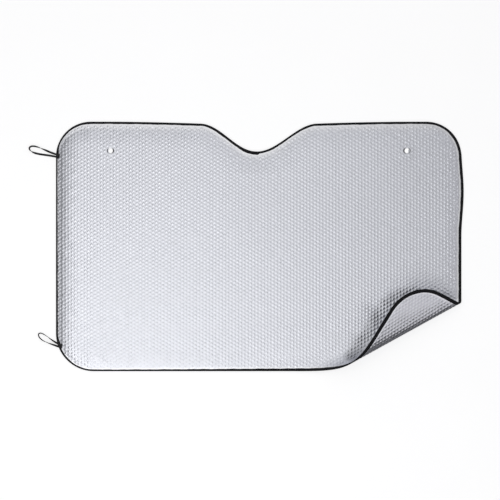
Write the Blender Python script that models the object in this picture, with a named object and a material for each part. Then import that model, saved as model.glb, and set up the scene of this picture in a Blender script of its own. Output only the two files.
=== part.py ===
"""Car windscreen sunshade: one sheet of laminated bubble foil with a bound edge, a notch for the interior
mirror, two punched holes for suction cups and two elastic loops that hold it rolled up.

Metres and degrees, +Z up. The sheet lies on its back with its lower right corner rolled over the front.
X runs along the sheet, Y up the windscreen, and the origin is the centre of the sheet's back face."""
import math

import bmesh
import bpy
from mathutils import Matrix, Vector

# Sheet outline, over the binding
SHEET_WIDTH = 1.300
SHEET_HEIGHT = 0.800
UPPER_CORNER_RADIUS = 0.1120
LOWER_CORNER_RADIUS = 0.1215
NOTCH_WIDTH = 0.380
NOTCH_DEPTH = 0.0895
NOTCH_LEAN = -0.006
NOTCH_SHOULDER_DROP = 0.006
NOTCH_SHOULDER_RUN = 0.300
NOTCH_SHOULDER_POWER = 1.8
BULGE = 0.0073
BULGE_BELOW_TOP = 0.225
BULGE_HALF_LENGTH = 0.145

# Laminate: full thickness, pressed edge under the tape, and the slope between them
FOIL_THICKNESS = 0.0040
PRESSED_THICKNESS = 0.0018
SLOPE_WIDTH = 0.0050
GAP = 0.0003

# Binding tape, folded over the edge, wider on the back
TAPE_FRONT_WIDTH = 0.0070
TAPE_BACK_WIDTH = 0.0095
TAPE_THICKNESS = 0.0008
FOLD_RADIUS = 0.0010

# Punched holes inside welded rings
HOLE_RADIUS = 0.0070
RING_RADIUS = 0.0115
RING_THICKNESS = 0.0010
HOLE_FROM_SIDE = 0.1750
HOLE_FROM_TOP = 0.0930

# Rolled corner: part of a cone whose rulings all meet at an apex beyond the right edge
APEX_BEYOND_EDGE = 0.1366
APEX_ABOVE_BOTTOM = 0.2970
CURL_START = 201.55
CURL_SPAN = 17.4
CURL_TURN = 151.8
CURL_FOLDS = 15

# Elastic loops: flat ribbon, both ends sewn side by side on the binding
RIBBON_WIDTH = 0.0065
RIBBON_THICKNESS = 0.0010
RIBBON_END_GAP = 0.0006
RIBBON_PAST_TAPE = 0.0040
LOOP_DROP_RUN = 0.035
UPPER_LOOP_FROM_TOP = 0.1115
UPPER_LOOP_HEADING = 165.3
UPPER_LOOP_REACH = 0.1000
UPPER_LOOP_SPREAD = 0.016
UPPER_LOOP_LEAN = 0.002
UPPER_LOOP_TWIST = 140.0
UPPER_LOOP_TWIST_CENTRE = 160.0
UPPER_LOOP_TWIST_HALF = 65.0
LOWER_LOOP_FROM_BOTTOM = 0.0745
LOWER_LOOP_HEADING = 160.0
LOWER_LOOP_REACH = 0.0846
LOWER_LOOP_SPREAD = 0.014
LOWER_LOOP_LEAN = 0.0118
LOWER_LOOP_TWIST = 115.0
LOWER_LOOP_TWIST_CENTRE = 180.0
LOWER_LOOP_TWIST_HALF = 106.0

# Facets
CORNER_STEPS = 9
NOTCH_STEPS = 34
SHOULDER_STEPS = 10
SIDE_STEPS = 30
HOLE_STEPS = 24
LOOP_STEPS = 44
SAME_PLACE = 0.00002

# Worked out from the sizes above
TAPE_INSIDE = PRESSED_THICKNESS / 2 + GAP
TAPE_OUTSIDE = TAPE_INSIDE + TAPE_THICKNESS
MID_HEIGHT = max(FOIL_THICKNESS / 2, TAPE_OUTSIDE)
PRESSED_WIDTH = max(TAPE_FRONT_WIDTH, TAPE_BACK_WIDTH) + GAP
LOOP_TUCK = TAPE_FRONT_WIDTH + RIBBON_PAST_TAPE


def clear_scene():
    for thing in list(bpy.data.objects):
        bpy.data.objects.remove(thing, do_unlink=True)


def finish(name, colour, roughness, metallic):
    made = bpy.data.materials.new(name)
    made.use_nodes = True
    shader = made.node_tree.nodes["Principled BSDF"]
    shader.inputs["Base Color"].default_value = (*colour, 1.0)
    shader.inputs["Roughness"].default_value = roughness
    shader.inputs["Metallic"].default_value = metallic
    return made


def place(name, bm, material):
    """Turns a finished bmesh into a named object in the scene."""
    bmesh.ops.triangulate(bm, faces=bm.faces[:])
    bmesh.ops.recalc_face_normals(bm, faces=bm.faces[:])
    mesh = bpy.data.meshes.new(name)
    bm.to_mesh(mesh)
    bm.free()
    mesh.shade_smooth()
    mesh.set_sharp_from_angle(angle=math.radians(35))
    mesh.materials.append(material)
    made = bpy.data.objects.new(name, mesh)
    bpy.context.scene.collection.objects.link(made)
    return made


def smooth_step(share):
    share = min(max(share, 0.0), 1.0)
    return share * share * (3 - 2 * share)


def corner_radius(side_y):
    return UPPER_CORNER_RADIUS if side_y > 0 else LOWER_CORNER_RADIUS


def corner(side_x, side_y, first_angle):
    """Points and inward normals of one round corner, anticlockwise."""
    radius = corner_radius(side_y)
    centre = Vector((side_x * (SHEET_WIDTH / 2 - radius), side_y * (SHEET_HEIGHT / 2 - radius)))
    for step in range(CORNER_STEPS + 1):
        angle = math.radians(first_angle + 90 * step / CORNER_STEPS)
        outward = Vector((math.cos(angle), math.sin(angle)))
        yield centre + outward * radius, -outward


def right_side():
    """The right side between its corners, bottom to top."""
    low = LOWER_CORNER_RADIUS - SHEET_HEIGHT / 2
    high = SHEET_HEIGHT / 2 - UPPER_CORNER_RADIUS
    for step in range(1, SIDE_STEPS):
        yield Vector((SHEET_WIDTH / 2, low + (high - low) * step / SIDE_STEPS)), Vector((-1, 0))


def mirror_notch():
    """A cosine dip in the top edge, right to left, between shoulders that fall a little towards it."""
    shoulder = []
    for step in range(SHOULDER_STEPS):
        share = step / SHOULDER_STEPS
        from_middle = NOTCH_WIDTH / 2 + NOTCH_SHOULDER_RUN * (1 - share)
        fall = NOTCH_SHOULDER_DROP * share ** NOTCH_SHOULDER_POWER
        shoulder.append((from_middle, SHEET_HEIGHT / 2 - fall))
    points = [Vector(spot) for spot in shoulder]
    for step in range(NOTCH_STEPS + 1):
        across = 1 - 2 * step / NOTCH_STEPS
        dip = (1 + math.cos(math.pi * across)) / 2
        height = SHEET_HEIGHT / 2 - NOTCH_SHOULDER_DROP - NOTCH_DEPTH * dip
        points.append(Vector((NOTCH_WIDTH / 2 * across + NOTCH_LEAN * dip, height)))
    points += [Vector((-from_middle, height)) for from_middle, height in reversed(shoulder)]
    for here, point in enumerate(points):
        travel = points[min(here + 1, len(points) - 1)] - points[max(here - 1, 0)]
        yield point, Vector((-travel.y, travel.x)).normalized()


def sheet_edge():
    """The sheet's outline, anticlockwise, as points with inward normals."""
    stations = [*corner(1, -1, -90), *right_side(), *corner(1, 1, 0), *mirror_notch()]
    stations += [*corner(-1, 1, 90), *corner(-1, -1, 180)]
    for point, inward in stations:
        along = (point.y - (SHEET_HEIGHT / 2 - BULGE_BELOW_TOP)) / BULGE_HALF_LENGTH
        if abs(along) < 1:
            point.x += BULGE * math.cos(math.pi / 2 * along) ** 2 * max(0.0, -inward.x)
    return stations


def bend(bm):
    """Rolls the corner. The flat solid is cut along the rulings, and each strip is turned rigidly about its
    ruling, so walls and gaps keep their thickness. A point on a ruling is mitred between its two strips."""
    apex = Vector((SHEET_WIDTH / 2 + APEX_BEYOND_EDGE, APEX_ABOVE_BOTTOM - SHEET_HEIGHT / 2, MID_HEIGHT))
    fold = math.radians(CURL_TURN / CURL_FOLDS)
    angles = []
    for count in range(CURL_FOLDS):
        turned = (count + 0.5) / CURL_FOLDS
        share = 0.5 - math.sin(math.asin(1 - 2 * turned) / 3)
        angles.append(math.radians(CURL_START + CURL_SPAN * share))
    strips = [Matrix.Identity(3)]
    mitres = []
    for angle in angles:
        across = Vector((-math.sin(angle), math.cos(angle), 0))
        everything = bm.verts[:] + bm.edges[:] + bm.faces[:]
        bmesh.ops.bisect_plane(bm, geom=everything, dist=SAME_PLACE, plane_co=apex, plane_no=across)
        ruling = strips[-1] @ Vector((math.cos(angle), math.sin(angle), 0))
        mitres.append(Matrix.Rotation(fold / 2, 3, ruling) @ strips[-1])
        strips.append(Matrix.Rotation(fold, 3, ruling) @ strips[-1])
    for vert in bm.verts:
        arm = vert.co - apex
        direction = math.atan2(arm.y, arm.x) % math.tau
        slack = 2 * SAME_PLACE / arm.xy.length
        strip = sum(angle < direction - slack for angle in angles)
        if strip < CURL_FOLDS and abs(angles[strip] - direction) <= slack:
            arm.z /= math.cos(fold / 2)
            vert.co = apex + mitres[strip] @ arm
        else:
            vert.co = apex + strips[strip] @ arm


def ring_of(bm, points, half_thickness, half_layer):
    """A closed ring of edges in the plane, each vertex knowing the laminate's half thickness there."""
    verts = [bm.verts.new((point.x, point.y, 0)) for point in points]
    for vert in verts:
        vert[half_layer] = half_thickness
    return verts


def join_rings(bm, outer, inner):
    for here in range(len(outer)):
        there = (here + 1) % len(outer)
        bm.faces.new((outer[here], outer[there], inner[there], inner[here]))


def circle(centre, radius):
    turns = [math.tau * step / HOLE_STEPS for step in range(HOLE_STEPS)]
    return [centre + radius * Vector((math.cos(turn), math.sin(turn))) for turn in turns]


def foil_panel(material):
    """One laminate: thin under the tape and in the welded rings, full between them, punched twice."""
    bm = bmesh.new()
    half = bm.verts.layers.float.new("half_thickness")
    stations = sheet_edge()
    rings = []
    for inset, thickness in (
        (TAPE_THICKNESS + GAP, PRESSED_THICKNESS),
        (PRESSED_WIDTH, PRESSED_THICKNESS),
        (PRESSED_WIDTH + SLOPE_WIDTH, FOIL_THICKNESS),
    ):
        points = [point + inward * inset for point, inward in stations]
        rings.append(ring_of(bm, points, thickness / 2, half))
    join_rings(bm, rings[0], rings[1])
    join_rings(bm, rings[1], rings[2])
    borders = [rings[2]]
    for side in (-1, 1):
        centre = Vector((side * (SHEET_WIDTH / 2 - HOLE_FROM_SIDE), SHEET_HEIGHT / 2 - HOLE_FROM_TOP))
        slope_end = ring_of(bm, circle(centre, RING_RADIUS + SLOPE_WIDTH), FOIL_THICKNESS / 2, half)
        pressed = ring_of(bm, circle(centre, RING_RADIUS), RING_THICKNESS / 2, half)
        punched = ring_of(bm, circle(centre, HOLE_RADIUS), RING_THICKNESS / 2, half)
        join_rings(bm, slope_end, pressed)
        join_rings(bm, pressed, punched)
        borders.append(slope_end)
    edges = [bm.edges.get((ring[here - 1], ring[here])) for ring in borders for here in range(len(ring))]
    bmesh.ops.triangle_fill(bm, edges=edges, use_beauty=True)
    bmesh.ops.recalc_face_normals(bm, faces=bm.faces[:])
    back = bm.verts[:]
    bmesh.ops.extrude_face_region(bm, geom=bm.faces[:], use_keep_orig=True)
    back_set = set(back)
    for vert in bm.verts:
        vert.co.z = MID_HEIGHT + (-vert[half] if vert in back_set else vert[half])
    bend(bm)
    return place("foil_panel", bm, material)


def tape_section():
    """The folded tape as (depth from the sheet's edge, height from its middle), a closed loop."""
    flat = TAPE_OUTSIDE - FOLD_RADIUS
    bend_points = []
    for angle in (0, 45, 90):
        sine = math.sin(math.radians(angle))
        cosine = math.cos(math.radians(angle))
        bend_points.append((FOLD_RADIUS * (1 - sine), flat + FOLD_RADIUS * cosine))
    front = [(TAPE_FRONT_WIDTH, TAPE_OUTSIDE), *bend_points]
    back = [(depth, -height) for depth, height in reversed(bend_points)]
    back.append((TAPE_BACK_WIDTH, -TAPE_OUTSIDE))
    inside = [(TAPE_BACK_WIDTH, -TAPE_INSIDE), (TAPE_THICKNESS, -TAPE_INSIDE)]
    inside += [(TAPE_THICKNESS, TAPE_INSIDE), (TAPE_FRONT_WIDTH, TAPE_INSIDE)]
    return front + back + inside


def edge_binding(material):
    """The tape's section swept once round the outline and closed on itself."""
    bm = bmesh.new()
    section = tape_section()
    rings = []
    for point, inward in sheet_edge():
        places = [(point + inward * depth, MID_HEIGHT + height) for depth, height in section]
        rings.append([bm.verts.new((spot.x, spot.y, height)) for spot, height in places])
    for here, ring in enumerate(rings):
        join_rings(bm, ring, rings[(here + 1) % len(rings)])
    bmesh.ops.recalc_face_normals(bm, faces=bm.faces[:])
    bend(bm)
    return place("edge_binding", bm, material)


def outside_sheet(point):
    """Distance from the sheet's rounded rectangle, below zero inside it."""
    radius = corner_radius(point.y)
    across = abs(point.x) - (SHEET_WIDTH / 2 - radius)
    up = abs(point.y) - (SHEET_HEIGHT / 2 - radius)
    beyond = Vector((max(across, 0.0), max(up, 0.0)))
    return beyond.length + min(max(across, up), 0.0) - radius


def left_edge_point(height):
    """The outline's left edge at a height, and its outward normal."""
    radius = corner_radius(height)
    past = abs(height) - (SHEET_HEIGHT / 2 - radius)
    sine = min(max(past / radius, 0.0), 1.0)
    cosine = math.sqrt(1 - sine * sine)
    outward = Vector((-cosine, math.copysign(sine, height)))
    return Vector((-SHEET_WIDTH / 2 + radius * (1 - cosine), height)), outward


def loop_path(root, heading, reach, spread, lean, twist, twist_centre, twist_half):
    """The ribbon's middle line with its roll. The legs leave the sheet side by side, then open into a drop,
    and the ribbon stands on edge where it turns back."""
    ahead = Vector((math.cos(math.radians(heading)), math.sin(math.radians(heading))))
    aside = Vector((ahead.y, -ahead.x))
    beside = (RIBBON_WIDTH + RIBBON_END_GAP) / 2
    on_tape = MID_HEIGHT + TAPE_OUTSIDE + GAP
    for step in range(LOOP_STEPS + 1):
        turn = 360 * step / LOOP_STEPS
        swing = math.sin(math.radians(turn / 2))
        share = swing * swing
        side = math.copysign(1, 180 - turn) * beside * (1 - share ** 3) if step * 2 != LOOP_STEPS else 0.0
        drop = spread * math.sin(math.radians(turn)) * swing ** 3.5
        spot = root + ahead * reach * share + aside * (side + drop + lean * share * share)
        roll = math.radians(twist * math.exp(-(((turn - twist_centre) / twist_half) ** 4)))
        resting = (RIBBON_WIDTH * abs(math.sin(roll)) + RIBBON_THICKNESS * abs(math.cos(roll))) / 2
        lowered = smooth_step((outside_sheet(spot) - RIBBON_WIDTH) / LOOP_DROP_RUN)
        yield Vector((*spot, resting + on_tape * (1 - lowered))), roll


def elastic_loop(name, material, root, *shape):
    """A flat ribbon swept along its path."""
    bm = bmesh.new()
    path = list(loop_path(root, *shape))
    rings = []
    for here, (centre, roll) in enumerate(path):
        before = path[max(here - 1, 0)][0]
        after = path[min(here + 1, len(path) - 1)][0]
        travel = (after - before).normalized()
        level = Vector((-travel.y, travel.x, 0)).normalized()
        width_way = Matrix.Rotation(roll, 3, travel) @ level
        thick_way = travel.cross(width_way)
        ring = []
        for width, thickness in ((-1, -1), (1, -1), (1, 1), (-1, 1)):
            offset = width_way * width * RIBBON_WIDTH / 2 + thick_way * thickness * RIBBON_THICKNESS / 2
            ring.append(bm.verts.new(centre + offset))
        rings.append(ring)
    for first, second in zip(rings, rings[1:]):
        join_rings(bm, first, second)
    bm.faces.new(rings[0])
    bm.faces.new(rings[-1])
    return place(name, bm, material)


def loop_root(height):
    edge, outward = left_edge_point(height)
    return edge - outward * LOOP_TUCK


clear_scene()
foil = finish("silver bubble foil", (0.70, 0.71, 0.75), 0.38, 0.85)
tape = finish("black woven tape", (0.010, 0.010, 0.012), 0.85, 0.0)
elastic = finish("black elastic", (0.014, 0.014, 0.016), 0.75, 0.0)
foil_panel(foil)
edge_binding(tape)
elastic_loop(
    "upper_loop", elastic, loop_root(SHEET_HEIGHT / 2 - UPPER_LOOP_FROM_TOP), UPPER_LOOP_HEADING,
    UPPER_LOOP_REACH, UPPER_LOOP_SPREAD, UPPER_LOOP_LEAN, UPPER_LOOP_TWIST, UPPER_LOOP_TWIST_CENTRE,
    UPPER_LOOP_TWIST_HALF,
)
elastic_loop(
    "lower_loop", elastic, loop_root(LOWER_LOOP_FROM_BOTTOM - SHEET_HEIGHT / 2), LOWER_LOOP_HEADING,
    LOWER_LOOP_REACH, LOWER_LOOP_SPREAD, LOWER_LOOP_LEAN, LOWER_LOOP_TWIST, LOWER_LOOP_TWIST_CENTRE,
    LOWER_LOOP_TWIST_HALF,
)
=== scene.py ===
# %% [markdown]
# A car windscreen sunshade: one sheet of silver bubble foil, bound with black tape, with a notch for the
# interior mirror, two punched holes for suction cups and two elastic loops that hold it rolled up. It lies on
# its back with its lower right corner rolled over the front. The imported model is the frame, and what is made
# below only dresses it.

# %% Load the imported model
import math

import bmesh
import bpy
import numpy as np
from mathutils import Matrix, Vector, kdtree


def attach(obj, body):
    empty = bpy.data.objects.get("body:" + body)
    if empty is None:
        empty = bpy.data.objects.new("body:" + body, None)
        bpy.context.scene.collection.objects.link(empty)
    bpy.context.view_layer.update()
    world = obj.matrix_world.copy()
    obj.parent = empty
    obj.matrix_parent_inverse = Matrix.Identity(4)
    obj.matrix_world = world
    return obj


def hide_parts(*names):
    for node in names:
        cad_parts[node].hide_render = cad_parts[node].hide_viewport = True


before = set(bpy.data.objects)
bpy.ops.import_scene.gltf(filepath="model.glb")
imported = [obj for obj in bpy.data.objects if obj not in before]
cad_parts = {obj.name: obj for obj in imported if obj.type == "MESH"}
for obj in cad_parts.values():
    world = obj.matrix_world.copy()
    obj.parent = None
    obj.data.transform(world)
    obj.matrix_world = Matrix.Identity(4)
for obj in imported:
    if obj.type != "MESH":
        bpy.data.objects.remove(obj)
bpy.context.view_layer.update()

# %% [markdown]
# The picture was taken from straight above and from far away, so the sheet's outline keeps its true
# proportions and the rolled corner hardly grows towards the lens. A long lens at a long distance does the
# same. The picture's centre lies a little to the left of the sheet's centre and below it.

# %% Camera
PICTURE_WIDTH = 1.6036
PICTURE_CENTRE = (-0.0279, -0.0114)
CAMERA_HEIGHT = 14.0


def new_object(name, data):
    made = bpy.data.objects.new(name, data)
    bpy.context.scene.collection.objects.link(made)
    return made


def new_mesh(name, verts, edges, faces):
    made = bpy.data.meshes.new(name)
    made.from_pydata(verts, edges, faces)
    return made


camera_data = bpy.data.cameras.new("camera")
camera_data.sensor_width = 36.0
camera_data.lens = camera_data.sensor_width * CAMERA_HEIGHT / PICTURE_WIDTH
camera_data.clip_end = 200.0
camera = new_object("camera", camera_data)
camera.location = (*PICTURE_CENTRE, CAMERA_HEIGHT)
bpy.context.scene.camera = camera
print("lens", round(camera_data.lens, 1), "mm")

# %% [markdown]
# Node trees are easier to read as expressions. A wire wraps one socket, and Python's operators on wires add
# Math nodes, in shader trees and in geometry trees alike. Any other node comes from the graph's one method:
# its settings are set first, and then the values or links of its sockets, by name, identifier or number.

# %% Node graph helper
def operator(operation, reflected=False):
    """A method that adds one Math node for a wire and another value."""
    def method(self, other):
        return self.graph.maths(operation, *((other, self) if reflected else (self, other)))
    return method


class Wire:
    """One output socket. Arithmetic on it adds Math nodes to its graph."""
    __add__, __radd__ = operator("ADD"), operator("ADD", True)
    __sub__, __rsub__ = operator("SUBTRACT"), operator("SUBTRACT", True)
    __mul__, __rmul__ = operator("MULTIPLY"), operator("MULTIPLY", True)
    __truediv__, __rtruediv__ = operator("DIVIDE"), operator("DIVIDE", True)
    __gt__, __lt__ = operator("GREATER_THAN"), operator("LESS_THAN")

    def __init__(self, graph, socket):
        self.graph = graph
        self.socket = socket

    def maths(self, operation, *operands):
        return self.graph.maths(operation, self, *operands)


class Graph:
    """A node tree that is being written."""

    def __init__(self, tree):
        self.tree = tree

    def find(self, sockets, key):
        if isinstance(key, int):
            return sockets[key]
        for socket in sockets:
            if socket.identifier == key:
                return socket
        return sockets[key]

    def feed(self, node, key, value):
        socket = self.find(node.inputs, key)
        if isinstance(value, Wire):
            self.tree.links.new(value.socket, socket)
        else:
            socket.default_value = value

    def node(self, kind, settings=None, inputs=None, out=0):
        made = self.tree.nodes.new(kind)
        for key, value in (settings or {}).items():
            setattr(made, key, value)
        for key, value in (inputs or {}).items():
            self.feed(made, key, value)
        return Wire(self, self.find(made.outputs, out))

    def also(self, wire, out):
        """Another output of the node that a wire comes from."""
        return Wire(self, self.find(wire.socket.node.outputs, out))

    def maths(self, operation, *operands):
        return self.node("ShaderNodeMath", {"operation": operation}, dict(enumerate(operands)))

    def smooth(self, value, low, high):
        """0 below low, 1 above high, with a soft start and stop."""
        settings = {"interpolation_type": "SMOOTHSTEP"}
        return self.node("ShaderNodeMapRange", settings, {"Value": value, "From Min": low, "From Max": high})

    def blend(self, factor, first, second):
        """A mix of two colours."""
        settings = {"data_type": "RGBA"}
        inputs = {"Factor_Float": factor, "A_Color": first, "B_Color": second}
        return self.node("ShaderNodeMix", settings, inputs, "Result_Color")

    def split(self, vector):
        """The three parts of a vector."""
        first = self.node("ShaderNodeSeparateXYZ", None, {"Vector": vector})
        return first, self.also(first, "Y"), self.also(first, "Z")

    def join(self, x=0.0, y=0.0, z=0.0):
        return self.node("ShaderNodeCombineXYZ", None, {"X": x, "Y": y, "Z": z})

    def place(self, kind="Object"):
        return self.node("ShaderNodeTexCoord", out=kind)

    def noise(self, place, scale, detail=2.0):
        return self.node("ShaderNodeTexNoise", None, {"Vector": place, "Scale": scale, "Detail": detail})

    def seen(self):
        """1 where the lens itself looks, 0 where something else mirrors or gathers light."""
        return self.node("ShaderNodeLightPath", out="Is Camera Ray")


class Finish(Graph):
    """A material that is being written, with its Principled shader."""

    def __init__(self, name, **constants):
        self.material = bpy.data.materials.new(name)
        self.material.use_nodes = True
        super().__init__(self.material.node_tree)
        self.shader = self.tree.nodes["Principled BSDF"]
        for key, value in constants.items():
            self.shade(key.replace("_", " "), value)

    def shade(self, key, value):
        self.feed(self.shader, key, value)

    def bump(self, height, distance, strength):
        inputs = {"Height": height, "Distance": distance, "Strength": strength}
        self.shade("Normal", self.node("ShaderNodeBump", None, inputs))


def grey(level):
    return (level, level, level, 1)


print("node helper ready")

# %% [markdown]
# The floor is plain white paper, as in a product studio. It comes out almost pure white in the picture, so the
# paper glows a little for the lens alone, and a little more where it is seen through the two punched holes. The
# foil mirrors a darker floor, and this keeps the underside of the roll dark.

# %% White floor
FLOOR_SIZE = 60.0
FLOOR_DROP = 0.0004
FLOOR_LIFT = 0.73
HOLE_LIFT = 0.96
HOLE_SPOT = (0.475, 0.307)
HOLE_SPOT_FADE = (0.012, 0.020)
PAPER_LEVELS = (0.37, 0.39)
PAPER_GRAIN_SCALE = 6.0
PAPER_IN_FOIL = (0.20, 0.20, 0.21, 1)

bpy.context.scene.view_settings.view_transform = "Standard"


def floor_paper():
    finish = Finish("white paper", Roughness=0.9, Emission_Strength=1.0)
    place, seen = finish.place(), finish.seen()
    paper = finish.blend(finish.noise(place, PAPER_GRAIN_SCALE), *[grey(level) for level in PAPER_LEVELS])
    finish.shade("Base Color", finish.blend(seen, PAPER_IN_FOIL, paper))
    x, y, z = finish.split(place)
    across, up = x.maths("ABSOLUTE") - HOLE_SPOT[0], y - HOLE_SPOT[1]
    off_hole = finish.smooth((across * across + up * up).maths("SQRT"), *HOLE_SPOT_FADE)
    glow = finish.blend(off_hole, grey(HOLE_LIFT), grey(FLOOR_LIFT))
    finish.shade("Emission Color", finish.blend(seen, grey(0.0), glow))
    return finish.material


half = FLOOR_SIZE / 2
corners = ((-half, -half), (half, -half), (half, half), (-half, half))
floor_mesh = new_mesh("floor", [(x, y, -FLOOR_DROP) for x, y in corners], [], [(0, 1, 2, 3)])
floor_mesh.materials.append(floor_paper())
new_object("floor", floor_mesh)
print("floor", FLOOR_SIZE, "m wide")

# %% [markdown]
# Four soft boxes light the sheet. Foil shows a lamp mostly as its mirror image, so the place and the size of a
# box matter more than its power. The big main box hangs over the left of the sheet, and the foil's brightness
# fades past its right edge. The key box lifts the left side and the front box the near edge. The sparkle box is
# far off at the left and sets a small bright point on each bubble.

# %% Soft boxes
def soft_box(name, centre, size, power, aim):
    data = bpy.data.lights.new(name, "AREA")
    data.shape = "RECTANGLE"
    data.size, data.size_y = size
    data.energy = power
    light = new_object(name, data)
    light.location = centre
    light.rotation_euler = (Vector(aim) - Vector(centre)).to_track_quat("-Z", "Y").to_euler()


soft_box("main box", (-0.36, -0.65, 2.2), (1.98, 3.90), 12.9, (-0.36, -0.65, 0.0))
soft_box("key box", (-0.70, -0.45, 1.3), (1.2, 1.0), 1.3, (-0.70, -0.45, 0.0))
soft_box("front box", (-0.30, -1.60, 2.1), (2.0, 1.2), 4.2, (-0.30, -1.60, 0.0))
soft_box("sparkle box", (-1.5, -1.2, 3.8), (0.9, 0.9), 3.0, (0.0, 0.0, 0.0))
print("four soft boxes")

# %% [markdown]
# Bubble foil is a field of small convex mirrors, and what they mirror beside the boxes draws the flank of each
# bubble. So the brightness of the room depends on the direction: near black at the horizon, and higher up in
# front at the right, then grey walls, which are brighter to the right, and a grey ceiling. The lens itself sees
# plain white.

# %% Surroundings
DARK_BELOW = (0.06, 0.16)
DARKNESS = 0.05
FRONT_RIGHT = (0.48, -0.88)
FRONT_RIGHT_FADE = (0.30, 0.60)
FRONT_DARK_RISE = 0.20
LOW_WALL = (0.30, 0.26, 0.50)
LOW_WALL_LEAST = 0.02
HIGH_WALL = (0.50, 0.30, 0.40)
SIDES_BETWEEN = (0.40, 0.52)
CEILING = (0.29, 0.20, 0.12)
CEILING_LEAST = 0.23
OVERHEAD_FROM = (0.62, 0.80)
COOL, WARM = (0.99, 1.0, 1.03, 1), (1.0, 0.985, 1.025, 1)
WARM_TO_THE_RIGHT = (0.1, 0.6)


def between(low, high, share):
    """Moves from one brightness to another."""
    return low + (high - low) * share


def graded(shares, right, away):
    """A brightness that starts from a level and grows to the right and away from the sheet's near side."""
    level, rightwards, onwards = shares
    return level + rightwards * right + onwards * away


def studio_room():
    world = bpy.data.worlds.new("studio")
    world.use_nodes = True
    room = Graph(world.node_tree)
    right, away, high = room.split(room.place("Generated"))
    sideways = away.maths("ABSOLUTE")
    low_wall = graded(LOW_WALL, right, sideways).maths("MAXIMUM", LOW_WALL_LEAST)
    wall = between(low_wall, graded(HIGH_WALL, right, sideways), room.smooth(high, *SIDES_BETWEEN))
    in_front = room.smooth(FRONT_RIGHT[0] * right + FRONT_RIGHT[1] * away, *FRONT_RIGHT_FADE)
    raised = between(DARKNESS, wall, room.smooth(high - in_front * FRONT_DARK_RISE, *DARK_BELOW))
    ceiling = graded(CEILING, right, away).maths("MAXIMUM", CEILING_LEAST)
    level = between(raised, ceiling, room.smooth(high, *OVERHEAD_FROM))
    tint = room.blend(room.smooth(right, *WARM_TO_THE_RIGHT), COOL, WARM)
    mirrored = room.blend(level, grey(0.0), tint)
    room.feed(world.node_tree.nodes["Background"], "Color", room.blend(room.seen(), mirrored, grey(1.0)))
    return world


bpy.context.scene.world = studio_room()
print("a room with a dark left side and a dark horizon")

# %% [markdown]
# The foil is film with a thin layer of aluminium on it. It mirrors, but the film is satin and slightly blue,
# so the mirror is soft and lavender grey. Its colour drifts a little over the sheet, and fine crinkles break
# the reflections. There are three finishes: the flat film, the bubbles on the front and those on the back. Two
# attributes that are made further down change the colour: one makes welded film paler and paints a highlight
# near the top edge, and the other paints shade and dark reflections into the film. The rest reads Object
# coordinates, so it stays on the sheet.

# %% Foil finishes
# Colours for paler welded film with a painted highlight, and for painted shade and dark reflections.
PALER_WELD_AND_HIGHLIGHT_FILM = (0.985, 0.985, 1.0, 1)
PAINTED_SHADE_FILM = (0.05, 0.05, 0.055, 1)
DRIFT_SCALE = 3.0
ROUGH_PATCH_SCALE = 40.0
ROUGHNESS_RANGE = 0.12
CRINKLE_SCALE = 260.0
CRINKLE_HEIGHT = 0.0004
CRINKLE_STRENGTH = 0.35


def silver_film(name, dark, light, roughness):
    finish = Finish(name, Metallic=1.0)
    place = finish.place()
    # Two vertex attributes paint into the colour: a paler weld with a painted highlight, then painted shade and
    # dark reflections.
    paler_weld_and_painted_highlight, painted_shade = [finish.node("ShaderNodeAttribute", {"attribute_name": mark}, out="Fac")
                     for mark in ("paler_weld_and_painted_highlight", "painted_shade")]
    colour = finish.blend(finish.noise(place, DRIFT_SCALE), dark, light)
    colour = finish.blend(paler_weld_and_painted_highlight, colour, PALER_WELD_AND_HIGHLIGHT_FILM)
    finish.shade("Base Color", finish.blend(painted_shade, colour, PAINTED_SHADE_FILM))
    patches = finish.noise(place, ROUGH_PATCH_SCALE, 3.0)
    finish.shade("Roughness", roughness - ROUGHNESS_RANGE / 2 + ROUGHNESS_RANGE * patches)
    finish.bump(finish.noise(place, CRINKLE_SCALE), CRINKLE_HEIGHT, CRINKLE_STRENGTH)
    return finish.material


film_finish = silver_film("silver film", (0.80, 0.81, 0.853, 1), (0.853, 0.863, 0.910, 1), 0.36)
bubble_finish = silver_film("silver film over a bubble", (0.80, 0.81, 0.858, 1), (0.853, 0.863, 0.915, 1), 0.33)
back_finish = silver_film("silver film over a back bubble", (0.93, 0.94, 0.985, 1), (0.96, 0.97, 1.0, 1), 0.31)
print("finishes", film_finish.name, "and", bubble_finish.name, "and", back_finish.name)

# %% [markdown]
# The tape is woven from black polyester, with fine ribs across it, and the loops are flat braided elastic with
# ribs along them. Both weaves are far finer than the picture shows, but they decide how the black catches the
# light. Their pieces carry a UV map in metres, so that the ribs follow every bend.

# %% Tape, elastic and thread finishes
RIB_PITCH = 0.0007
YARN_PITCH = 0.0005
FUZZ_SCALE = 90.0
ELASTIC_RIB = 0.0008
BRAID_PITCH = 0.0012
BRAID_SLANT = 1.3
FIBRE_SCALE = 900.0


def ribs(distance, pitch):
    """A smooth ridge and furrow along a distance in metres."""
    return (distance * (math.tau / pitch)).maths("SINE") * 0.5 + 0.5


def woven_tape():
    finish = Finish("black woven tape", Roughness=0.8, Specular_IOR_Level=0.25)
    across, along, nothing = finish.split(finish.node("ShaderNodeUVMap"))
    weave = ribs(along, RIB_PITCH) * (0.6 + 0.4 * ribs(across, YARN_PITCH))
    fuzz = finish.noise(finish.place(), FUZZ_SCALE, 4.0)
    shade = weave * 0.6 + fuzz * 0.5
    finish.shade("Base Color", finish.blend(shade, (0.002, 0.002, 0.003, 1), (0.010, 0.010, 0.012, 1)))
    finish.shade("Roughness", 0.68 + 0.2 * fuzz)
    finish.bump(weave + fuzz * 0.4, 0.00015, 0.8)
    return finish.material


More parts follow.
